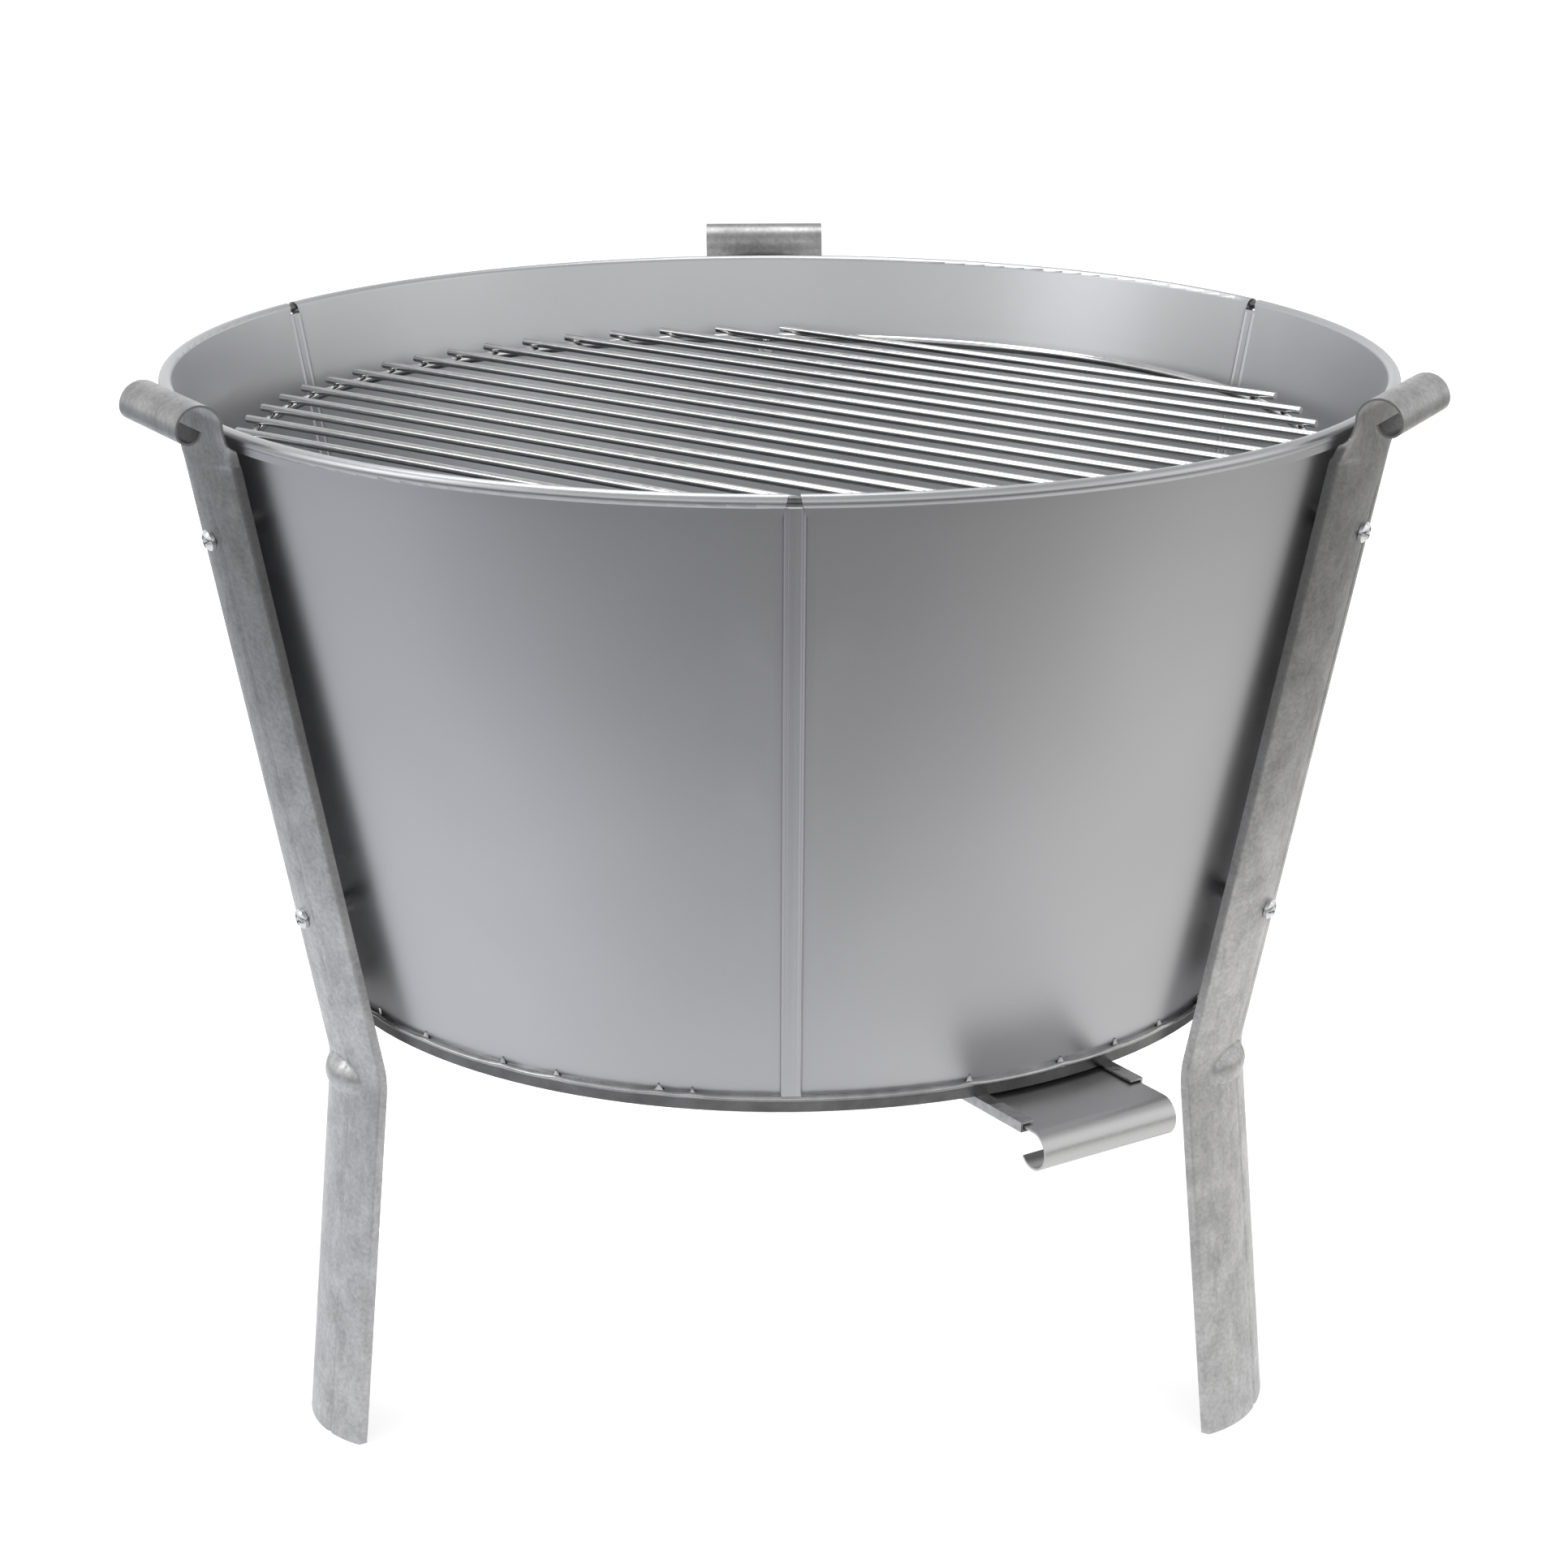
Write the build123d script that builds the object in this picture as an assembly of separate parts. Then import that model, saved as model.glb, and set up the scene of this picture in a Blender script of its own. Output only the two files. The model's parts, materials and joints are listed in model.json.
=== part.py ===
from build123d import *
import os
from math import asin, atan2, cos, degrees, hypot, radians, sin, sqrt, tan

# Garden fire pit: a tapered galvanised tub on three strip legs, with a lift-out rod grate
# and an air slide under the base. Millimetres. The origin is on the ground under the tub's
# axis, +Z is up and +Y points at the back leg.

# ---- tub ----
RIM_RADIUS = 240.0  # outside of the rolled rim
RIM_HEIGHT = 409.0  # top of the rolled rim above the ground
BASE_HEIGHT = 169.0  # underside of the base above the ground
BASE_RADIUS = 188.5  # outside of the base seam at its lower edge
SHEET = 0.6  # wall, base and rim sheet
FOLD_GAP = 0.05  # play between folded layers
PANELS = 3
SEAM_TURN = -0.5  # degrees by which the wall seams are turned from midway between the legs

# ---- rolled rim ----
RIM_WIRE = 3.6  # wire diameter
WIRE_GAP = 0.1  # play between the wire and the roll
ROLL_END = -55.0  # degrees, where the roll leaves the wire
RIM_SKIRT = 2.9  # flat hem under the roll
NOTCH_TOP = 5.2  # width of the rim's cut-away at a seam, at the top of the wire
NOTCH_BOTTOM = 8.6  # and at the foot of the hem

# ---- folded seams ----
LOCK_WIDTH = 6.6  # overlap of the hooks in a wall seam
HOOK_PLAY = 0.4  # from the hooks to the wall's cut edge
BASE_SEAM = 6.3  # height of the base seam

# ---- legs ----
LEG_COUNT = 3
LEG_SHEET = 0.8
LEG_WIDTH = 53.0  # width of the flat strip
LEG_RADIUS = 44.6  # radius of the leg's arched section
LEG_FLAT_RADIUS = 900.0  # the same where the strip is nearly flat
LEG_OFF_RIM = 8.7  # ridge of the leg outside the rim's outermost line, at the rim's top
LEG_OFF_FOOT = 16.2  # and outside the wall's foot
BEND_DROP = 18.0  # bend below the base
FOOT_SPLAY = 0.1  # outward per unit of height, from the bend down to the ground
LEG_EDGE = 2.6  # depth of the turned-in edges
EDGE_END = 0.35  # and what is left of them at the rim
EDGE_FADE = 12.0  # the edges taper off over this height below the arch's end
ARCH_DROP = 13.0  # the arch starts to flatten this far below the rim's top
BUMP_LENGTH = 27.0  # pressed stiffening bump across the bend
BUMP_HEIGHT = 12.0
BUMP_DEPTH = 3.2

# ---- rolled handles at the leg tops ----
HANDLE_RISE = 3.2  # axis of the roll above the rim's top
HANDLE_RADIUS = 8.9
HANDLE_GAP = 4.5  # between the rim and the strip where the roll starts
CURL_RADIUS = 5.0
CURL_TURN = 170.0

# ---- leg fasteners ----
UPPER_DROP = 43.0  # upper hole at the leg's ridge, below the rim's top
LOWER_RISE = 46.0  # lower hole, above the base
SCREW = 4.0
SCREW_PLAY = 0.3  # of the screw in its holes, on the diameter
SCREW_REST = 6.0  # the upper screws reach this far past the middle of the grate's ring
SCREW_END = 8.0  # the lower screws end this far inside their nuts
HEAD_DIAMETER = 8.0
HEAD_HEIGHT = 2.9
SLOT_WIDTH = 1.1
SLOT_DEPTH = 1.3
CROSS_LENGTH = 4.4
NUT_FLATS = 7.0
NUT_HEIGHT = 3.2
NUT_GAP = 0.05  # between a nut's rim and the wall
THREAD_GAP = 0.02  # round the screw in its nut
SPACER = 8.0
SPACER_GAP = 0.22  # between a spacer's flat end and the leg's hollow side

# ---- grate ----
GRATE_GAP = 19.2  # from the wall at the upper screws to the middle of the ring's wire
RING_WIRE = 4.0
ROD = 3.1
ROD_OVERHANG = 5.0  # the rods end this far outside the middle of the ring's wire
ROD_PITCH = 19.0
ROD_MARGIN = 33.0  # the outermost rods stay at least this far inside the ring
ROD_TURN = -38.5  # degrees, direction of the rods
WELD = 0.3  # how deep the rods sit in the ring
REST_GAP = 0.3

# ---- air slide ----
SLIDE_TURN = 301.5  # degrees, direction in which it pulls out
SLIDE_ASIDE = -4.5  # its middle line beside the tub's axis
AIR_HOLE = 42.0
AIR_PLACE = 66.0  # middle of the hole, inside the base seam
SLIDE_SHEET = 0.8
SLIDE_COVER = 9.0  # the plate covers this much round the hole
GRIP_PLACE = 30.0  # axis of the rolled grip, outside the base seam
GRIP_RADIUS = 7.5
GRIP_TURN = 235.0
SLIDE_PLAY = 0.5  # beside each edge
SLIDE_SLACK = 0.7  # above the plate and below it
RAIL_SHEET = 0.8
RAIL_FLANGE = 5.6
RAIL_PAST = {"right": 16.0, "left": 24.5}  # each rail's end outside the base seam
RAIL_STOP = 6.0  # the rails run on this far past the plate's inner end

# ---- the wall's line, tangent to the rim wire and ending at the base seam ----
roll_inner = RIM_WIRE / 2 + WIRE_GAP
roll_outer = roll_inner + SHEET
layer = SHEET + FOLD_GAP
wire_r = RIM_RADIUS - roll_outer
wire_z = RIM_HEIGHT - roll_outer
foot_r = BASE_RADIUS - 3 * layer
foot_z = BASE_HEIGHT + layer
reach = hypot(wire_r - foot_r, wire_z - foot_z)
WALL_ANGLE = atan2(wire_r - foot_r, wire_z - foot_z) - asin(roll_inner / reach)
ROLL_START = 180 - degrees(WALL_ANGLE)
HOOK_ROOM = LOCK_WIDTH / 2 + SHEET + HOOK_PLAY
slope = tan(WALL_ANGLE)
level_sheet = SHEET / cos(WALL_ANGLE)  # thickness of the wall along a level line
seam_bottom = foot_z + BASE_SEAM
seam_top = wire_z - RIM_WIRE / 2 - 0.4
seam_angles = [270 + SEAM_TURN + 360 / PANELS * i for i in range(PANELS)]
leg_angles = [90 + 360 / LEG_COUNT * i for i in range(LEG_COUNT)]
LEG_NAMES = ["back", "left", "right"]

# ---- heights and lines that follow from the tub ----
upper_screw = RIM_HEIGHT - UPPER_DROP
lower_screw = BASE_HEIGHT + LOWER_RISE
arch_end = RIM_HEIGHT - ARCH_DROP
handle_height = RIM_HEIGHT + HANDLE_RISE
handle_inside = RIM_RADIUS + HANDLE_GAP
bend_height = BASE_HEIGHT - BEND_DROP
leg_slope = (RIM_RADIUS + LEG_OFF_RIM - foot_r - LEG_OFF_FOOT) / (RIM_HEIGHT - foot_z)
leg_bend = foot_r + LEG_OFF_FOOT - leg_slope * (foot_z - bend_height)
screw_hole = SCREW + SCREW_PLAY


def wall_r(z):
    """Outside of the wall at a height."""
    return foot_r + (z - foot_z) * slope


def outline(*points):
    return make_face(Polyline(*points, close=True))


def on_xz(face):
    """A face drawn in XY as (radius, height), stood up in the XZ plane."""
    return Plane.XZ * face


def spin(face, start, turn):
    """Revolve an upright face about the axis, from one azimuth through a turn."""
    solid = revolve(on_xz(face), Axis.Z, turn)
    return Rot(0, 0, start) * solid


def sheared(n, up):
    """A point of the base seam: n outward from the wall, up from the wall's foot."""
    return (wall_r(foot_z + up) + n, foot_z + up)


def ring_point(angle, radius):
    return (wire_r + radius * cos(radians(angle)), wire_z + radius * sin(radians(angle)))


def panel_section():
    """A panel's whole section: the foot turned out and up, the wall, the rolled rim and its flat hem."""
    tip = BASE_SEAM - 2 * layer
    middle = (ROLL_START + ROLL_END) / 2
    outer = ThreePointArc(*[ring_point(a, roll_outer) for a in (ROLL_START, middle, ROLL_END)])
    inner = ThreePointArc(*[ring_point(a, roll_inner) for a in (ROLL_END, middle, ROLL_START)])
    drop = Vector(-RIM_SKIRT * slope, -RIM_SKIRT)
    hem = Polyline(outer @ 1, (outer @ 1) + drop, (inner @ 0) + drop, inner @ 0)
    wall = Polyline(
        inner @ 1, sheared(0, SHEET), sheared(2 * layer - SHEET, SHEET), sheared(2 * layer - SHEET, tip),
        sheared(2 * layer, tip), sheared(2 * layer, 0), sheared(-level_sheet, 0), outer @ 0,
    )
    return make_face(outer + hem + inner + wall)


def notch_cutter():
    """The wedge that opens the rim at a seam, wider at the foot of the hem."""
    low, high = seam_top - 6, RIM_HEIGHT + 2
    rate = (NOTCH_BOTTOM - NOTCH_TOP) / (roll_outer + RIM_SKIRT + roll_inner) / 2
    top = NOTCH_TOP / 2 - rate * (high - wire_z)
    bottom = NOTCH_TOP / 2 + rate * (wire_z - low)
    face = outline((-bottom, low), (bottom, low), (top, high), (-top, high))
    wedge = extrude(Plane.YZ * face, RIM_RADIUS + 20)
    return wedge - Cylinder(wall_r(low) - SHEET * 2, 3 * RIM_HEIGHT)


def seam_room():
    """The slot cut in the wall for the hooks of a seam, its top square to the wall as the hooks' ends are."""
    top = seam_top + FOLD_GAP
    band = outline(
        (wall_r(seam_bottom) - 3, seam_bottom), (wall_r(seam_bottom) + 1.5, seam_bottom),
        (wall_r(seam_top) + 1.5, top - 1.5 * slope), (wall_r(seam_top) - 3, top + 3 * slope),
    )
    return extrude(on_xz(band), HOOK_ROOM, both=True)


def hook(points):
    """A folded hook of a wall seam as a prism along the wall, at azimuth 0."""
    foot = (wall_r(seam_bottom), 0, seam_bottom)
    tilt = Plane(origin=foot, x_dir=(0, 1, 0), z_dir=(sin(WALL_ANGLE), 0, cos(WALL_ANGLE)))
    return extrude(tilt * outline(*points), (seam_top - seam_bottom) / cos(WALL_ANGLE))


def inner_hook():
    """The fold of the panel that ends clockwise of a seam, with n outward as -Y of the section."""
    half, s = LOCK_WIDTH / 2, SHEET
    top = 2 * layer
    return hook([
        (-half - 3, s), (half, s), (half, -top), (-half + layer, -top), (-half + layer, -top + s),
        (half - s, -top + s), (half - s, 0), (-half - 3, 0),
    ])


def outer_hook():
    """The fold of the other panel, which wraps the first one."""
    half, s, g = LOCK_WIDTH / 2, SHEET, FOLD_GAP
    top = 3 * layer
    right = half + g
    return hook([
        (half + 3.5, s), (right, s), (right, -top + s), (-half + s, -top + s), (-half + s, -layer),
        (half - s - g, -layer), (half - s - g, -g), (-half, -g), (-half, -top), (right + s, -top),
        (right + s, 0), (half + 3.5, 0),
    ])


def wall_panel(seam):
    """One wall panel, from the seam at an azimuth to the next one."""
    full = 360 / PANELS
    gap = degrees(FOLD_GAP / BASE_RADIUS)
    panel = spin(panel_section(), seam + gap, full - 2 * gap)
    for angle in (seam, seam + full):
        panel -= Rot(0, 0, angle) * notch_cutter()
        panel -= Rot(0, 0, angle) * seam_room()
    panel += Rot(0, 0, seam) * outer_hook()
    panel += Rot(0, 0, seam + full) * inner_hook()
    for angle in leg_angles:
        if 0 < (angle - seam) % 360 < full:
            for height in (upper_screw, lower_screw):
                panel -= Rot(0, 0, angle) * hole_cutter(height)
    return panel


def beside_slide(piece):
    """Turn a piece built along X to the slide's direction and place."""
    return Rot(0, 0, SLIDE_TURN) * Pos(0, SLIDE_ASIDE, 0) * piece


def base_plate():
    """The flat base with its edge folded up over the wall's foot, and the air hole."""
    tip = BASE_SEAM - 2 * layer
    under = -layer
    plate = outline(
        (0, BASE_HEIGHT), sheared(3 * layer, under),
        sheared(3 * layer, tip + layer), sheared(FOLD_GAP, tip + layer),
        sheared(FOLD_GAP, SHEET + FOLD_GAP), sheared(FOLD_GAP + SHEET, SHEET + FOLD_GAP),
        sheared(FOLD_GAP + SHEET, tip + layer - SHEET), sheared(3 * layer - SHEET, tip + layer - SHEET),
        sheared(3 * layer - SHEET, under + SHEET), (0, BASE_HEIGHT + SHEET),
    )
    hole = Pos(BASE_RADIUS - AIR_PLACE, 0, BASE_HEIGHT) * Cylinder(AIR_HOLE / 2, 10)
    return spin(plate, 0, 360) - beside_slide(hole)


# ---- legs, built at azimuth 0 with x outward and y along the rim ----
LEG_ANGLE = atan2(leg_slope, 1)
leg_foot = leg_bend + FOOT_SPLAY * bend_height


def ridge_r(z):
    """Outside of the leg's ridge at a height."""
    if z < bend_height:
        return leg_foot - FOOT_SPLAY * z
    return leg_bend + leg_slope * (z - bend_height)


def leg_section(z, ridge, radius, edge):
    """The arched strip with its turned-in edges, cut level at a height."""
    half = LEG_WIDTH / 2 / radius
    inner = radius - LEG_SHEET
    centre = ridge - radius

    def arc_at(r, a):
        return (centre + r * cos(a), r * sin(a))

    x, y = arc_at(radius, half)
    turn = half - asin(LEG_SHEET / inner)
    outer = ThreePointArc(arc_at(radius, -half), arc_at(radius, 0), arc_at(radius, half))
    start = arc_at(inner, turn)[0]
    under = ThreePointArc((start, y - LEG_SHEET), arc_at(inner, 0), (start, LEG_SHEET - y))
    tip = x - LEG_SHEET - edge
    near = Polyline(outer @ 1, (tip, y), (tip, y - LEG_SHEET), under @ 0)
    far = Polyline(under @ 1, (tip, LEG_SHEET - y), (tip, -y), outer @ 0)
    return Pos(0, 0, z) * make_face(outer + near + under + far)


def handle():
    """The strip rolled outward and over, with a tighter curl at its end."""
    half, s = LEG_WIDTH / 2, LEG_SHEET
    cx = handle_inside + HANDLE_RADIUS
    curl_x = cx + HANDLE_RADIUS - CURL_RADIUS

    def arc(centre, radius, start, end):
        pts = [(centre + radius * cos(radians(a)), handle_height + radius * sin(radians(a)))
               for a in (start, (start + end) / 2, end)]
        return ThreePointArc(*pts)

    over = arc(cx, HANDLE_RADIUS, 180, 0)
    curl = arc(curl_x, CURL_RADIUS, 0, -CURL_TURN)
    curl_back = arc(curl_x, CURL_RADIUS - s, -CURL_TURN, 0)
    back = arc(cx, HANDLE_RADIUS - s, 0, 180)
    tip = Line(curl @ 1, curl_back @ 0)
    face = make_face(over + curl + tip + curl_back + back + Line(back @ 1, over @ 0))
    return extrude(Plane.XZ * face, half, both=True)


def screw_frame(height):
    """At the leg's ridge, with the screw's axis pointing into the tub as +Z."""
    tilt = LEG_ANGLE
    return Plane(origin=(ridge_r(height), 0, height), x_dir=(0, 1, 0), z_dir=(-cos(tilt), 0, sin(tilt)))


def hole_cutter(height):
    return screw_frame(height) * Cylinder(screw_hole / 2, 60)


def leg():
    """One leg from the ground to the rolled handle."""
    stations = [
        (0, leg_foot, LEG_RADIUS, LEG_EDGE),
        (bend_height, leg_bend, LEG_RADIUS, LEG_EDGE),
        (arch_end - EDGE_FADE, ridge_r(arch_end - EDGE_FADE), LEG_RADIUS, LEG_EDGE),
        (arch_end, ridge_r(arch_end), LEG_RADIUS, EDGE_END),
        (handle_height, handle_inside + LEG_SHEET, LEG_FLAT_RADIUS, EDGE_END),
    ]
    sections = [leg_section(*station) for station in stations]
    body = None
    for low, high in zip(sections, sections[1:]):
        piece = loft([low, high], ruled=True)
        body = piece if body is None else body + piece
    body += handle()
    for height in (upper_screw, lower_screw):
        body -= hole_cutter(height)
    return body + bump()


def bump():
    """The stiffening bump pressed outward across the bend."""
    ball = scale(Sphere(1), (BUMP_DEPTH + LEG_SHEET, BUMP_LENGTH / 2, BUMP_HEIGHT / 2))
    ball = Pos(leg_bend - LEG_SHEET, 0, bend_height + 1.5) * ball
    return ball - Box(2 * (leg_bend - LEG_SHEET / 2), 200, 3 * RIM_HEIGHT)


def head():
    """A domed head with a slot crossed by a short recess, its seat at z = 0 and its top at -z."""
    r, h = HEAD_DIAMETER / 2, HEAD_HEIGHT
    dome = ThreePointArc((r, -h * 0.45), (r * 0.72, -h * 0.85), (0, -h))
    face = make_face(Line((0, 0), (r, 0)) + Line((r, 0), (r, -h * 0.45)) + dome + Line((0, -h), (0, 0)))
    body = revolve(Plane.XZ * face, Axis.Z, 360)
    depth = Pos(0, 0, -h + SLOT_DEPTH / 2 - 0.5)
    slot = depth * Box(HEAD_DIAMETER + 1, SLOT_WIDTH, SLOT_DEPTH + 1)
    cross = depth * Box(SLOT_WIDTH, CROSS_LENGTH, SLOT_DEPTH + 1)
    return body - slot - cross


def leg_screw(height, length):
    screw = head() + Pos(0, 0, length / 2) * Cylinder(SCREW / 2, length)
    return screw_frame(height) * screw


def wall_distance(height, n):
    """Along the screw from the leg's ridge to the surface n inside the wall's outside."""
    step_r, step_z = -cos(LEG_ANGLE), sin(LEG_ANGLE)
    gap = ridge_r(height) - (wall_r(height) - n / cos(WALL_ANGLE))
    return gap / (-step_r + step_z * slope)


def nut_seat(height):
    """Along the screw from the ridge to where a nut meets the inside of the wall."""
    lean = NUT_FLATS / sqrt(3) * abs(tan(WALL_ANGLE - LEG_ANGLE))
    return wall_distance(height, SHEET) + lean + NUT_GAP


def leg_nut(height):
    """A nut run up to the inside of the wall."""
    bore = Pos(0, 0, NUT_HEIGHT / 2) * Cylinder(SCREW / 2 + THREAD_GAP, NUT_HEIGHT * 2)
    nut = extrude(RegularPolygon(NUT_FLATS / sqrt(3), 6), NUT_HEIGHT) - bore
    return screw_frame(height) * Pos(0, 0, nut_seat(height)) * nut


def spacer(height):
    """A sleeve on the screw, between the leg and the wall."""
    start = LEG_SHEET + SPACER_GAP
    end = wall_distance(height, 0)
    tube = Cylinder(SPACER / 2, 60) - Cylinder(screw_hole / 2, 80)
    tube = Pos(0, 0, start + 30) * tube
    placed = screw_frame(height) * tube
    low, high = foot_z - 30, wire_z + 30
    cone = outline((0, low), (wall_r(low), low), (wall_r(high), high), (0, high))
    return placed - spin(cone, 0, 360)


def on_each_leg(piece):
    return Compound(children=[Rot(0, 0, a) * piece for a in leg_angles])


# ---- grate: rods on a ring that lies on the inner ends of the three upper screws ----
grate_radius = wall_r(upper_screw) - GRATE_GAP
rod_reach = grate_radius + ROD_OVERHANG
rod_rows = int((grate_radius - ROD_MARGIN) / ROD_PITCH)
upper_length = (ridge_r(upper_screw) - grate_radius + SCREW_REST) / cos(LEG_ANGLE)
lower_length = nut_seat(lower_screw) + NUT_HEIGHT + SCREW_END


def screw_top(radius):
    """Height of the top of an upper screw at a radius."""
    along = (ridge_r(upper_screw) - radius) * tan(LEG_ANGLE)
    return upper_screw + along + SCREW / 2 / cos(LEG_ANGLE)


ring_z = screw_top(grate_radius) + REST_GAP + RING_WIRE / 2
rod_z = ring_z + RING_WIRE / 2 + ROD / 2 - WELD


def grate_ring():
    return Pos(0, 0, ring_z) * Torus(grate_radius, RING_WIRE / 2)


def grate_rods():
    rods = []
    for row in range(-rod_rows, rod_rows + 1):
        offset = row * ROD_PITCH
        length = 2 * sqrt(rod_reach ** 2 - offset ** 2)
        rod = Pos(0, offset, rod_z) * Rot(0, 90, 0) * Cylinder(ROD / 2, length)
        rods.append(Rot(0, 0, ROD_TURN) * rod - grate_ring())
    return Compound(children=rods)


# ---- air slide and its rails, built at azimuth 0 and turned to SLIDE_TURN ----
slide_width = AIR_HOLE + 2 * SLIDE_COVER
air_place = BASE_RADIUS - AIR_PLACE
slide_inner = air_place - AIR_HOLE / 2 - SLIDE_COVER
slide_outer = BASE_RADIUS + GRIP_PLACE
slide_top = BASE_HEIGHT - RAIL_SHEET - SLIDE_SLACK
rail_low = slide_top - SLIDE_SHEET - SLIDE_SLACK - RAIL_SHEET
rail_web = slide_width / 2 + SLIDE_PLAY


def air_slide():
    """The plate with its end rolled down and back into a grip."""
    s, low = SLIDE_SHEET, slide_top - SLIDE_SHEET
    centre = (slide_outer, slide_top - GRIP_RADIUS)

    def arc(radius, start, end):
        pts = [(centre[0] + radius * cos(radians(a)), centre[1] + radius * sin(radians(a)))
               for a in (start, (start + end) / 2, end)]
        return ThreePointArc(*pts)

    outer = arc(GRIP_RADIUS, 90, 90 - GRIP_TURN)
    inner = arc(GRIP_RADIUS - s, 90 - GRIP_TURN, 90)
    rest = Polyline(inner @ 1, (slide_inner, low), (slide_inner, slide_top), outer @ 0)
    face = make_face(outer + Line(outer @ 1, inner @ 0) + inner + rest)
    return extrude(Plane.XZ * face, slide_width / 2, both=True)


def slide_rail(side, past):
    """A folded rail under the base: side is 1 or -1 across the slide."""
    top, s = BASE_HEIGHT, RAIL_SHEET
    web, lip = rail_web, rail_web + s - RAIL_FLANGE
    face = outline(
        (lip, top), (web + s, top), (web + s, rail_low), (lip, rail_low), (lip, rail_low + s),
        (web, rail_low + s), (web, top - s), (lip, top - s),
    )
    inner = slide_inner - RAIL_STOP
    rail = Pos(inner, 0, 0) * extrude(Plane.YZ * face, BASE_RADIUS + past - inner)
    return rail if side > 0 else mirror(rail, Plane.XZ)


def write(name, shape):
    export_step(shape, os.path.join("parts", name + ".step"))


os.makedirs("parts", exist_ok=True)
for seam, name in zip(seam_angles, ["right", "back", "left"]):
    write("wall_panel_" + name, wall_panel(seam))
write("rim_wire", Pos(0, 0, wire_z) * Torus(wire_r, RIM_WIRE / 2))
write("base_plate", base_plate())

one_leg = leg()
for angle, name in zip(leg_angles, LEG_NAMES):
    write("leg_" + name, Rot(0, 0, angle) * one_leg)
for level, height, length in (("upper", upper_screw, upper_length), ("lower", lower_screw, lower_length)):
    for angle, name in zip(leg_angles, LEG_NAMES):
        write(f"{level}_screw_{name}", Rot(0, 0, angle) * leg_screw(height, length))
    write(f"{level}_nuts", on_each_leg(leg_nut(height)))
    write(f"{level}_spacers", on_each_leg(spacer(height)))

write("grate_ring", grate_ring())
write("grate_rods", grate_rods())
write("air_slide", beside_slide(air_slide()))
for side, name in ((1, "right"), (-1, "left")):
    write("slide_rail_" + name, beside_slide(slide_rail(side, RAIL_PAST[name])))
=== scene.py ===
"""Looks of the fire pit: a galvanised tub on three strip legs, a chromed rod grate and an air slide.

Lengths of the legs and seams are in millimetres, as in the CAD model; other lengths are in metres.
"""

import json
import math

import bmesh
import bpy
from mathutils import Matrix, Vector


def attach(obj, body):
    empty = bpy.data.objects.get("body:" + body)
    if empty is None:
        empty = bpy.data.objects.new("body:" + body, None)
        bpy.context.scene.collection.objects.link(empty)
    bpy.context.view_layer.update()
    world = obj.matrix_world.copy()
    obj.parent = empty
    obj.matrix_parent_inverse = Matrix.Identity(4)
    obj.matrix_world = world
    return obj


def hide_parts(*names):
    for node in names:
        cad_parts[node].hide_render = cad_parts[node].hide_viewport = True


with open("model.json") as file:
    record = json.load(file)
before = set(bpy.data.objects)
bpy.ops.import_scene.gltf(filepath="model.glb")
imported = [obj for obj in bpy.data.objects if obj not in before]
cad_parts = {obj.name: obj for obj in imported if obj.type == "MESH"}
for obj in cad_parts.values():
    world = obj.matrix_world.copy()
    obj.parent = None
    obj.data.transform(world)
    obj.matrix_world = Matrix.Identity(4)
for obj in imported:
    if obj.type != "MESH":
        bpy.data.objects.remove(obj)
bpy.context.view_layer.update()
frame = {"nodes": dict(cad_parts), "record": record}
nodes = frame["nodes"]


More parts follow.
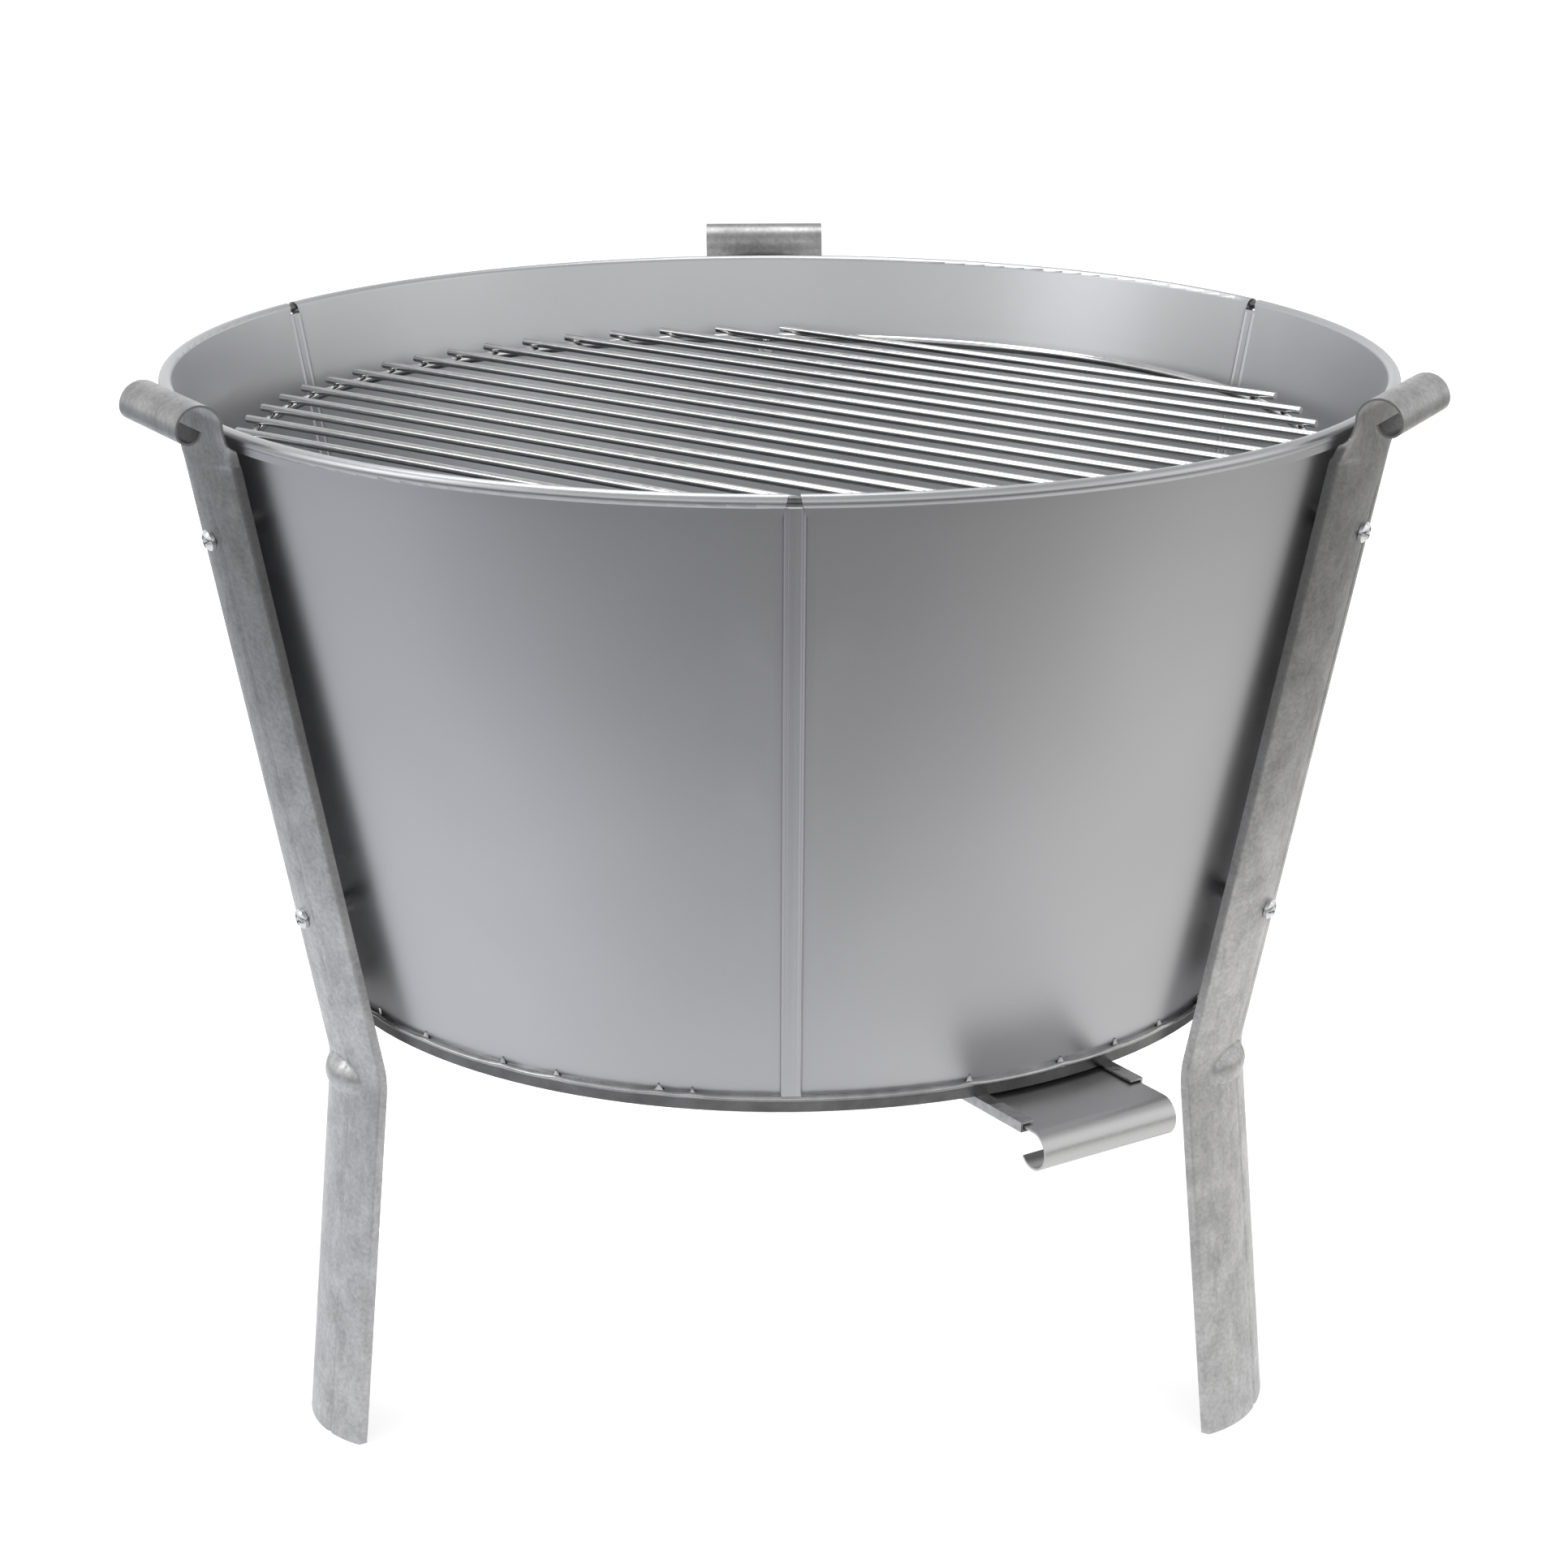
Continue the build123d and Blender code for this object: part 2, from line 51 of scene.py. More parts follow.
# ---- node materials ----
class Shader:
    """A Principled metal with short calls for the nodes that feed it.

    Coordinates are the row frame, in metres.
    """

    def __init__(self, name, colour, roughness):
        self.material = bpy.data.materials.new(name)
        self.material.use_nodes = True
        self.tree = self.material.node_tree
        self.surface = self.tree.nodes["Principled BSDF"]
        self.surface.inputs["Base Color"].default_value = (*colour, 1)
        self.surface.inputs["Roughness"].default_value = roughness
        self.surface.inputs["Metallic"].default_value = 1.0
        self.place = self.tree.nodes.new("ShaderNodeTexCoord").outputs["Object"]

    def link(self, source, target):
        self.tree.links.new(source, target)
        return target

    def stretched(self, scale):
        """Coordinates scaled along x, y and z."""
        node = self.tree.nodes.new("ShaderNodeMapping")
        node.inputs["Scale"].default_value = scale
        self.link(self.place, node.inputs["Vector"])
        return node.outputs["Vector"]

    def noise(self, scale, detail=3.0, rough=0.55, distortion=0.0, at=None):
        node = self.tree.nodes.new("ShaderNodeTexNoise")
        node.inputs["Scale"].default_value = scale
        node.inputs["Detail"].default_value = detail
        node.inputs["Roughness"].default_value = rough
        node.inputs["Distortion"].default_value = distortion
        self.link(at or self.place, node.inputs["Vector"])
        return node.outputs["Fac"]

    def cells(self, scale):
        """A random value for each crystal of a Voronoi pattern."""
        node = self.tree.nodes.new("ShaderNodeTexVoronoi")
        node.inputs["Scale"].default_value = scale
        self.link(self.place, node.inputs["Vector"])
        split = self.tree.nodes.new("ShaderNodeSeparateColor")
        self.link(node.outputs["Color"], split.inputs["Color"])
        return split.outputs["Red"]

    def height(self):
        """Height above the ground."""
        node = self.tree.nodes.new("ShaderNodeSeparateXYZ")
        self.link(self.place, node.inputs["Vector"])
        return node.outputs["Z"]

    def spread(self, value, low, high, to_low, to_high, smooth=True):
        """A value's range mapped onto another."""
        node = self.tree.nodes.new("ShaderNodeMapRange")
        node.interpolation_type = "SMOOTHSTEP" if smooth else "LINEAR"
        self.link(value, node.inputs["Value"])
        limits = {"From Min": low, "From Max": high, "To Min": to_low, "To Max": to_high}
        for name, number in limits.items():
            node.inputs[name].default_value = number
        return node.outputs["Result"]

    def math(self, kind, a, b):
        node = self.tree.nodes.new("ShaderNodeMath")
        node.operation = kind
        for socket, value in zip(node.inputs, (a, b)):
            if isinstance(value, (int, float)):
                socket.default_value = value
            else:
                self.link(value, socket)
        return node.outputs["Value"]

    def shade(self, dark, light, factor):
        """Base colour between two colours."""
        node = self.tree.nodes.new("ShaderNodeMix")
        node.data_type = "RGBA"
        node.inputs["A"].default_value = (*dark, 1)
        node.inputs["B"].default_value = (*light, 1)
        self.link(factor, node.inputs["Factor"])
        self.link(node.outputs["Result"], self.surface.inputs["Base Color"])

    def dim(self, value):
        """Base colour multiplied by a value."""
        node = self.tree.nodes.new("ShaderNodeMix")
        node.data_type = "RGBA"
        node.blend_type = "MULTIPLY"
        node.inputs["Factor"].default_value = 1.0
        base = self.surface.inputs["Base Color"]
        self.link(base.links[0].from_socket, node.inputs["A"])
        self.link(value, node.inputs["B"])
        self.link(node.outputs["Result"], base)

    def rough(self, value):
        self.link(value, self.surface.inputs["Roughness"])

    def bump(self, value, strength, distance):
        node = self.tree.nodes.new("ShaderNodeBump")
        node.inputs["Strength"].default_value = strength
        node.inputs["Distance"].default_value = distance
        self.link(value, node.inputs["Height"])
        self.link(node.outputs["Normal"], self.surface.inputs["Normal"])


def grey(value, tint=(1.0, 1.0, 1.0)):
    """A grey, tinted."""
    return tuple(value * t for t in tint)


COOL = (0.985, 0.99, 1.02)


def tub_metal():
    """Smooth satin sheet with a very fine grain and faint clouds."""
    s = Shader("tub_metal", grey(0.5, COOL), 0.28)
    clouds = s.noise(7, 2)
    grain = s.noise(2600, 2, 0.6)
    factor = s.math("ADD", s.math("MULTIPLY", clouds, 0.65), s.math("MULTIPLY", grain, 0.35))
    s.shade(grey(0.47, COOL), grey(0.55, COOL), s.spread(factor, 0.3, 0.7, 0, 1, False))
    s.rough(s.spread(grain, 0.3, 0.7, 0.32, 0.39))
    s.bump(grain, 0.035, 0.0001)
    return s.material


def leg_metal():
    """Hot-dip strip: soft clouds, small flecks and faint rolling streaks, with painted shade towards the
    top of the leg, eased a little on the handle.
    """
    s = Shader("leg_metal", grey(0.5), 0.42)
    clouds = s.noise(75, 4, 0.6, 0.3)
    flecks = s.noise(600, 3, 0.65)
    streaks = s.noise(1, 3, 0.5, at=s.stretched((260, 260, 45)))
    mix = s.math("ADD", s.math("MULTIPLY", clouds, 0.4), s.math("MULTIPLY", flecks, 0.4))
    mix = s.math("ADD", mix, s.math("MULTIPLY", streaks, 0.2))
    s.shade(grey(0.34), grey(0.57), s.spread(mix, 0.35, 0.65, 0, 1, False))
    # painted shade by height: the colour dims from 0.2 m to 0.34 m up the leg, and lifts a little again
    # from 0.385 m across the handle
    top_shade = s.spread(s.height(), 0.2, 0.34, 1.0, 0.58)
    s.dim(s.math("ADD", top_shade, s.spread(s.height(), 0.385, 0.42, 0.0, 0.14)))
    s.rough(s.spread(mix, 0.35, 0.65, 0.42, 0.32))
    s.bump(flecks, 0.1, 0.0001)
    return s.material


def rail_metal():
    """Bright hot-dip sheet with small sparkling crystals."""
    s = Shader("rail_metal", grey(0.6), 0.35)
    crystals = s.cells(380)
    flecks = s.noise(600, 2)
    mix = s.math("ADD", s.math("MULTIPLY", crystals, 0.6), s.math("MULTIPLY", flecks, 0.4))
    s.shade(grey(0.34), grey(0.62), mix)
    s.rough(s.spread(crystals, 0, 1, 0.28, 0.5))
    s.bump(mix, 0.2, 0.0002)
    return s.material


def slide_metal():
    """Medium grey sheet, finely brushed along the pull."""
    s = Shader("slide_metal", grey(0.42), 0.38)
    brushed = s.noise(1, 2, at=s.stretched((1500, 1500, 1500)))
    s.shade(grey(0.5), grey(0.64), brushed)
    s.rough(s.spread(brushed, 0.3, 0.7, 0.33, 0.44))
    s.bump(brushed, 0.1, 0.0002)
    return s.material


def base_metal():
    """Streaky sheet of the base, with painted shade low on its seam and a painted highlight along the
    seam's top.
    """
    s = Shader("base_metal", grey(0.4), 0.3)
    streaks = s.noise(60, 4, 0.6)
    s.shade(grey(0.3), grey(0.5), s.spread(streaks, 0.3, 0.7, 0, 1, False))
    # painted shade and painted highlight: the colour is dimmed below 0.1733 m and brightened past its own
    # colour above 0.1748 m
    s.dim(s.spread(s.height(), 0.1733, 0.1748, 0.34, 1.2))
    s.rough(s.spread(streaks, 0.3, 0.7, 0.36, 0.24))
    s.bump(s.noise(700, 2), 0.12, 0.0002)
    return s.material


def chrome():
    s = Shader("chrome", grey(0.8), 0.12)
    haze = s.noise(250, 3)
    s.shade(grey(0.5), grey(0.68), haze)
    s.rough(s.spread(haze, 0.3, 0.7, 0.08, 0.16))
    return s.material


def zinc():
    s = Shader("zinc", grey(0.75), 0.2)
    haze = s.noise(500, 3)
    s.shade(grey(0.62, (0.99, 1.0, 1.01)), grey(0.84, (0.99, 1.0, 1.01)), haze)
    s.rough(s.spread(haze, 0.3, 0.7, 0.14, 0.3))
    return s.material


def wire_metal():
    s = Shader("wire_metal", grey(0.2), 0.35)
    haze = s.noise(300, 3)
    s.shade(grey(0.1), grey(0.22), haze)
    s.rough(s.spread(haze, 0.3, 0.7, 0.28, 0.42))
    return s.material


FINISH = {
    "tub_sheet": tub_metal(),
    "base_sheet": base_metal(),
    "rim_wire": wire_metal(),
    "leg_strip": leg_metal(),
    "rail_sheet": rail_metal(),
    "slide_sheet": slide_metal(),
    "zinc_fastener": zinc(),
    "spacer_tube": zinc(),
    "chrome_wire": chrome(),
}

for part in frame["record"]["subparts"]:
    mesh = nodes[part["node"]].data
    mesh.materials.clear()
    mesh.materials.append(FINISH[part["material_slot"]])


# ---- legs ----
MM = 0.001
LEG_TURN = {"leg_back": 90, "leg_left": 210, "leg_right": 330}
LEG_SHEET = 0.8
LEG_BEND = (199.17, 151.0)  # ridge at the bend
LEG_SLOPE = 0.19198  # outward per unit of height above the bend
FOOT_SPLAY = 0.1
BEND_REACH = 5.5  # the bend is rounded this far up and down
ARCH_END = 396.0
HANDLE = (253.4, 412.2)  # axis of the rolled handle
HANDLE_RADIUS = 8.9
CURL_RADIUS = 5.0
CURL_TURN = 170.0
EDGE_CORNER = 1.2  # radius where an edge turns in
EDGE_TIP = 0.35  # what is left of a turned-in edge on the handle
EDGE_DEPTH = 2.25  # what it has more than that on the leg
EDGE_OPENS = (ARCH_END + 6, ARCH_END + 9.5)  # between these heights it opens out
ARCH_STEPS = 24
CORNER_STEPS = 6
EDGE_STEPS = 3
HANDLE_HALF = 24.25  # the strip up to its edge, on the handle
CREASE_PLACE = 6.5
CREASE_DEPTH = 0.55
CREASE_WIDTH = 0.9
CREASE_ENDS = (372, 392)  # it fades between these heights
BUMP_PLACE = 148.5
BUMP_DEPTH = 4.4
BUMP_REACH = (14.5, 7.4)  # half of its width and of its height
SCREW_HEIGHTS = (366.0, 215.0)
HOLE_RADIUS = 2.15
DRILL_LENGTH = 16
# half widths and arch radii beside the ridge; seen from above, the second is the anticlockwise side
LEG_HALVES = {"leg_back": (25.8, 25.8), "leg_left": (25.8, 22.8), "leg_right": (25.8, 26.6)}
LEG_ARCHES = {"leg_back": (44.6, 44.6), "leg_left": (44.6, 44.6), "leg_right": (44.6, 66.0)}


def ease(value, low, high):
    """0 up to low, 1 from high, and smooth between them."""
    t = min(max((value - low) / (high - low), 0.0), 1.0)
    return t * t * (3 - 2 * t)


def mound(u, place, width):
    """A smooth mound of height 1 at a place."""
    return math.exp(-(((u - place) / width) ** 2))


def ridge(z):
    """Outside of the leg's ridge at a height, with the bend rounded."""
    x, bend = LEG_BEND
    above = z - bend
    if above > BEND_REACH:
        return x + LEG_SLOPE * above
    if above < -BEND_REACH:
        return x - FOOT_SPLAY * above
    rise = above + BEND_REACH
    curve = (LEG_SLOPE + FOOT_SPLAY) / (4 * BEND_REACH)
    return x + FOOT_SPLAY * BEND_REACH - FOOT_SPLAY * rise + curve * rise**2


def leg_line():
    """(x, z, outward normal, height for the section) from the ground, up the leg and round the handle.

    The stations are closer together across the bend and under the handle.
    """
    heights = [6.0 * i for i in range(23)] + [138 + 0.6 * i for i in range(46)]
    heights += [168 + 6.0 * i for i in range(1, 36)] + [381 + 1.2 * i for i in range(26)]
    top = HANDLE[0] - HANDLE_RADIUS + LEG_SHEET
    stations = []
    for z in heights:
        blend = ease(z, ARCH_END, HANDLE[1])
        x = ridge(min(z, ARCH_END)) * (1 - blend) + top * blend
        lean = 0.0 if z > ARCH_END else (ridge(z + 0.1) - ridge(z - 0.1)) / 0.2 * ease(z, 0, 12)
        size = math.hypot(1, lean)
        stations.append((x, z, (1 / size, -lean / size), z))
    curl_x = HANDLE[0] + HANDLE_RADIUS - CURL_RADIUS
    rolls = (
        (HANDLE[0], HANDLE_RADIUS - LEG_SHEET, 180, 0, 26),
        (curl_x, CURL_RADIUS - LEG_SHEET, 0, -CURL_TURN, 22),
    )
    for centre, radius, start, end, steps in rolls:
        for i in range(1, steps + 1):
            a = math.radians(start + (end - start) * i / steps)
            out = (-math.cos(a), -math.sin(a))
            x, z = centre + radius * math.cos(a), HANDLE[1] + radius * math.sin(a)
            stations.append((x, z, out, HANDLE[1]))
    return stations


def half_section(arch, half, height, side):
    """(inward, sideways, normal) from the middle of the strip to the tip of one turned-in edge."""
    flat = ease(height, ARCH_END - 3, HANDLE[1])
    folded = 1 - ease(height, *EDGE_OPENS)
    bend = (1 - flat) / arch
    length = half * (1 - flat) + HANDLE_HALF * flat
    points = []
    for i in range(ARCH_STEPS + 1):
        u = length * i / ARCH_STEPS
        a = u * bend
        depth = (1 - math.cos(a)) / bend if bend > 1e-5 else 0.0
        across = math.sin(a) / bend if bend > 1e-5 else u
        groove = CREASE_DEPTH * mound(u, CREASE_PLACE, CREASE_WIDTH) if side > 0 else 0.0
        groove *= 1 - ease(height, *CREASE_ENDS)
        reach = (u / BUMP_REACH[0]) ** 2 + ((height - BUMP_PLACE) / BUMP_REACH[1]) ** 2
        press = BUMP_DEPTH * (1 - reach) ** 0.75 if reach < 1 else 0.0
        points.append((depth + groove - press, across, a))
    a = length * bend
    turn = (math.pi / 2 - a) * folded
    run = EDGE_CORNER * (math.pi / 2 - a)
    inward, across, _ = points[-1]
    for i in range(1, CORNER_STEPS + 1):
        step = a + turn * (i - 0.5) / CORNER_STEPS
        inward += math.sin(step) * run / CORNER_STEPS
        across += math.cos(step) * run / CORNER_STEPS
        points.append((inward, across, a + turn * i / CORNER_STEPS))
    edge = EDGE_TIP + EDGE_DEPTH * folded
    end = a + turn
    for i in range(1, EDGE_STEPS + 1):
        deeper = math.sin(end) * edge * i / EDGE_STEPS
        wider = math.cos(end) * edge * i / EDGE_STEPS
        points.append((inward + deeper, across + wider, end))
    return [(inward, side * across, side * a) for inward, across, a in points]


def leg_mesh(name):
    """The arched strip, with turned-in edges, a crease, the bump pressed across the bend and the handle."""
    turn = math.radians(LEG_TURN[name])
    east, north = math.cos(turn), math.sin(turn)
    stations = leg_line()
    corners = []
    for x, z, out, height in stations:
        left = half_section(LEG_ARCHES[name][0], LEG_HALVES[name][0], height, -1)
        right = half_section(LEG_ARCHES[name][1], LEG_HALVES[name][1], height, 1)
        line = left[:0:-1] + right
        for thickness, points in ((0.0, line), (LEG_SHEET, line[::-1])):
            for inward, across, a in points:
                inward += thickness * math.cos(a)
                across -= thickness * math.sin(a)
                r, up = x - inward * out[0], z - inward * out[1]
                corners.append(Vector((r * east - across * north, r * north + across * east, up)) * MM)
    ring = len(corners) // len(stations)
    faces = []
    for i in range(len(stations) - 1):
        low, high = i * ring, (i + 1) * ring
        faces += [(low + j, low + (j + 1) % ring, high + (j + 1) % ring, high + j) for j in range(ring)]
    last = (len(stations) - 1) * ring
    for j in range(ring // 2 - 1):
        k = ring - 1 - j
        faces.append((j, k, k - 1, j + 1))
        faces.append((last + j, last + j + 1, last + k - 1, last + k))
    mesh = bpy.data.meshes.new(name + "_strip")
    mesh.from_pydata(corners, [], faces)
    built = bmesh.new()
    built.from_mesh(mesh)
    bmesh.ops.recalc_face_normals(built, faces=built.faces)
    built.to_mesh(mesh)
    built.free()
    return mesh


def drilled(piece, turn):
    """The piece with its screw holes cut."""
    across = Vector((math.cos(turn), math.sin(turn), 0))
    tilt = math.atan(LEG_SLOPE)
    axis = across * math.cos(tilt) - Vector((0, 0, math.sin(tilt)))
    for height in SCREW_HEIGHTS:
        drill = bpy.data.meshes.new("drill")
        built = bmesh.new()
        size = HOLE_RADIUS * MM
        bmesh.ops.create_cone(
            built, cap_ends=True, segments=40, radius1=size, radius2=size, depth=DRILL_LENGTH * MM
        )
        built.to_mesh(drill)
        built.free()
        cutter = bpy.data.objects.new("drill", drill)
        bpy.context.scene.collection.objects.link(cutter)
        cutter.rotation_euler = axis.to_track_quat("Z", "Y").to_euler()
        cutter.location = (across * ridge(height) + Vector((0, 0, height))) * MM
        cut = piece.modifiers.new("hole", "BOOLEAN")
        cut.operation = "DIFFERENCE"
        cut.solver = "EXACT"
        cut.object = cutter
        bpy.context.view_layer.update()
        final = bpy.data.meshes.new_from_object(piece.evaluated_get(bpy.context.evaluated_depsgraph_get()))
        piece.modifiers.remove(cut)
        piece.data = final
        bpy.data.objects.remove(cutter)


def finished(piece, slot, sharp=38):
    """Smooth shading with crisp folds, the slot's finish, and a ride on the tub."""
    piece.data.materials.clear()
    piece.data.materials.append(FINISH[slot])
    piece.data.shade_smooth()
    piece.data.set_sharp_from_angle(angle=math.radians(sharp))
    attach(piece, "tub")


def legs():
    """The three legs, in place of their CAD nodes."""
    for name, turn in LEG_TURN.items():
        piece = bpy.data.objects.new(name + "_strip", leg_mesh(name))
        bpy.context.scene.collection.objects.link(piece)
        drilled(piece, math.radians(turn))
        finished(piece, "leg_strip")
        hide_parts(name)


# ---- detail of the folded base seam ----
WALL_SLOPE = 0.2069  # outward per unit of height
SEAM_FOOT = (188.5, 169.0)
SEAM_TOP = 174.6
PUCKERS = (
    14, 37, 66, 96, 131, 158, 187, 214, 223.4, 235.5, 242.6,
    254.9, 258.7, 289.9, 301.8, 310.1, 318.2, 327.5, 349,
)
BEAD_RADIUS = 1.0
BEAD_STEPS = 720
BEAD_SIDES = 12


def seam_point(turn, r, z):
    """A point at an azimuth, a radius and a height."""
    return Vector((r * math.cos(turn), r * math.sin(turn), z)) * MM


def seam_line(z):
    """Outside of the base seam at a height."""
    return SEAM_FOOT[0] + WALL_SLOPE * (z - SEAM_FOOT[1])


def new_piece(name, built, slot="base_sheet"):
    """A finished piece from a bmesh."""
    bmesh.ops.recalc_face_normals(built, faces=built.faces)
    mesh = bpy.data.meshes.new(name)
    built.to_mesh(mesh)
    built.free()
    piece = bpy.data.objects.new(name, mesh)
    bpy.context.scene.collection.objects.link(piece)
    finished(piece, slot, 60)


def puckers():
    """Small wedges where the seam's sheet gathered against the wall as it was folded."""
    built = bmesh.new()
    for n, turn in enumerate(PUCKERS):
        wide, tall = 2.3 + 0.5 * (n % 3), 3.4 + 0.4 * (n % 2)
        grid = []
        for j in range(9):
            v = j / 8
            z = SEAM_TOP - 0.6 + tall * v
            row = []
            for i in range(9):
                u = i / 4 - 1
                swell = max(0.0, 1 - u * u)
                r = seam_line(z) - 1.5 * v - 0.9 * (1 - swell) + 0.3 * swell * (1 - v)
                across = u * wide * (1 - 0.88 * v**0.7)
                row.append(built.verts.new(seam_point(math.radians(turn) + across / SEAM_FOOT[0], r, z)))
            grid.append(row)
        for j in range(8):
            for i in range(8):
                built.faces.new((grid[j][i], grid[j][i + 1], grid[j + 1][i + 1], grid[j + 1][i]))
        right, left = [row[-1] for row in grid[:-1]], [row[0] for row in grid[:0:-1]]
        built.faces.new(grid[0][:-1] + right + grid[-1][:0:-1] + left)
    new_piece("seam_puckers", built)


def seam_bead():
    """The rounded top of the fold, pulled up a little at each pucker."""
    built = bmesh.new()
    rings = []
    for k in range(BEAD_STEPS):
        turn = 360 / BEAD_STEPS * k
        near = min(abs((turn - p + 180) % 360 - 180) for p in PUCKERS)
        z = SEAM_TOP + 0.75 * math.exp(-near / 1.4) - 0.35
        r = seam_line(z) - 0.55
        ring = []
        for m in range(BEAD_SIDES):
            a = math.tau * m / BEAD_SIDES
            out, up = BEAD_RADIUS * math.cos(a), BEAD_RADIUS * math.sin(a)
            ring.append(built.verts.new(seam_point(math.radians(turn), r + out, z + up)))
        rings.append(ring)
    for k in range(BEAD_STEPS):
        low, high = rings[k], rings[(k + 1) % BEAD_STEPS]
        for m in range(BEAD_SIDES):
            after = (m + 1) % BEAD_SIDES
            built.faces.new((low[m], low[after], high[after], high[m]))
    new_piece("seam_bead", built)


# ---- folded seams of the wall ----
WALL_SEAMS = {"right": 29.5, "left": 149.5, "front": 269.5}
WALL_FOOT = (186.55, 169.65)
WALL_LEAN = math.atan(WALL_SLOPE)
FOLD_STEPS = 48
FOLD_SPAN = (-3.75, 4.35)  # across the seam, outside
FOLD_HEIGHTS = (176.6, 404.4)
INNER_SPAN = (-3.6, 3.6)
INNER_HEIGHTS = (173.0, 403.5)


def fold_strip(name, turn, span, heights, profile, back):
    """A strip along a wall seam. Its face follows a profile, and its back lies inside the wall's fold."""
    e = Vector((math.cos(turn), math.sin(turn), 0))
    t = Vector((-math.sin(turn), math.cos(turn), 0))
    across = [span[0] + (span[1] - span[0]) * i / FOLD_STEPS for i in range(FOLD_STEPS + 1)]
    section = [(u, profile(u)) for u in across] + [(span[1], back), (span[0], back)]
    built = bmesh.new()
    rings = []
    for z in heights:
        r = WALL_FOOT[0] + math.tan(WALL_LEAN) * (z - WALL_FOOT[1])
        out = e * math.cos(WALL_LEAN) - Vector((0, 0, math.sin(WALL_LEAN)))
        foot = e * r + Vector((0, 0, z))
        rings.append([built.verts.new((foot + out * n + t * u) * MM) for u, n in section])
    count = len(section)
    for k in range(count):
        built.faces.new((rings[0][k], rings[0][(k + 1) % count], rings[1][(k + 1) % count], rings[1][k]))
    built.faces.new(rings[0])
    built.faces.new(rings[1])
    new_piece(name, built, "tub_sheet")


def outside_fold(u):
    """Rounded at both sides, with the fold's line on the left and a fuller ridge on the right."""
    edge = min(u - FOLD_SPAN[0], FOLD_SPAN[1] - u) / 0.9
    rise = math.sqrt(max(0.0, 1 - (1 - min(edge, 1.0)) ** 2))
    height = 2.0 + 0.42 * mound(u, 3.1, 0.6) - 0.5 * mound(u, -2.2, 0.28) - 0.16 * mound(u, 1.2, 0.4)
    return 0.1 + rise * height


def inside_fold(u):
    """Two low ridges where the folded sheets show from inside."""
    ridges = -0.62 - 0.42 * mound(u, -2.4, 0.6) - 0.42 * mound(u, 2.4, 0.6)
    return ridges - 0.1 * max(0.0, 1 - (u / INNER_SPAN[1]) ** 2)


def wall_folds():
    """Each wall seam's fold, outside and inside."""
    for side, degrees in WALL_SEAMS.items():
        turn = math.radians(degrees)
        fold_strip("fold_" + side, turn, FOLD_SPAN, FOLD_HEIGHTS, outside_fold, 0.05)
        fold_strip("inner_fold_" + side, turn, INNER_SPAN, INNER_HEIGHTS, inside_fold, -0.3)


legs()
puckers()
seam_bead()
wall_folds()


# ---- floor, light and camera ----
FLOOR_SIZE = 24
FLOOR_LEVEL = -0.0005
FLOOR_DEPTH = (-1.2, 0.0)  # the stops run over this y
FLOOR_STOPS = ((0, 0.22), (0.4, 0.31), (0.57, 0.56), (0.75, 0.93), (1, 1.0))
FLOOR_GAIN = 1.05
FLOOR_SIDES = (0.4, 1.1)  # it dims between these distances from the middle
FLOOR_FAR = 0.55
FLOOR_TINTS = ((0.97, 0.98, 1.03, 1), (1.01, 1.0, 0.98, 1))  # left and right
PAPER = (0.88, 0.88, 0.88, 1)
PAPER_GLOW = 0.62
SKY_STOPS = ((0, 0.66), (0.25, 0.62), (0.6, 0.42), (1, 0.32))
SKY_GAIN = 1.7
CAMERA_TURN = math.radians(268.34)
CAMERA_DISTANCE = 1.3018
CAMERA_HEIGHT = 0.6606
CAMERA_PITCH = 0.3183
LENS = 77.05
SHIFT = 0.0028


def bare_material(name):
    """A material with no shader yet."""
    material = bpy.data.materials.new(name)
    material.use_nodes = True
    tree = material.node_tree
    tree.nodes.remove(tree.nodes["Principled BSDF"])
    return material, tree


def ramp(tree, value, stops, gain):
    """Brightness that follows a value through (place, brightness) stops, times a gain."""
    node = tree.nodes.new("ShaderNodeFloatCurve")
    curve = node.mapping.curves[0]
    for point, (x, y) in zip(curve.points, (stops[0], stops[-1])):
        point.location = (x, y)
    for x, y in stops[1:-1]:
        curve.points.new(x, y)
    node.mapping.update()
    tree.links.new(value, node.inputs["Value"])
    return times(tree, node.outputs["Value"], gain)


def mapped(tree, value, low, high, to_low=0.0, to_high=1.0):
    """A value moved from one range to another."""
    node = tree.nodes.new("ShaderNodeMapRange")
    tree.links.new(value, node.inputs["Value"])
    node.inputs["From Min"].default_value = low
    node.inputs["From Max"].default_value = high
    node.inputs["To Min"].default_value = to_low
    node.inputs["To Max"].default_value = to_high
    return node.outputs["Result"]


def times(tree, a, b):
    """The product of two values."""
    node = tree.nodes.new("ShaderNodeMath")
    node.operation = "MULTIPLY"
    for socket, value in zip(node.inputs, (a, b)):
        if isinstance(value, (int, float)):
            socket.default_value = value
        else:
            tree.links.new(value, socket)
    return node.outputs["Value"]


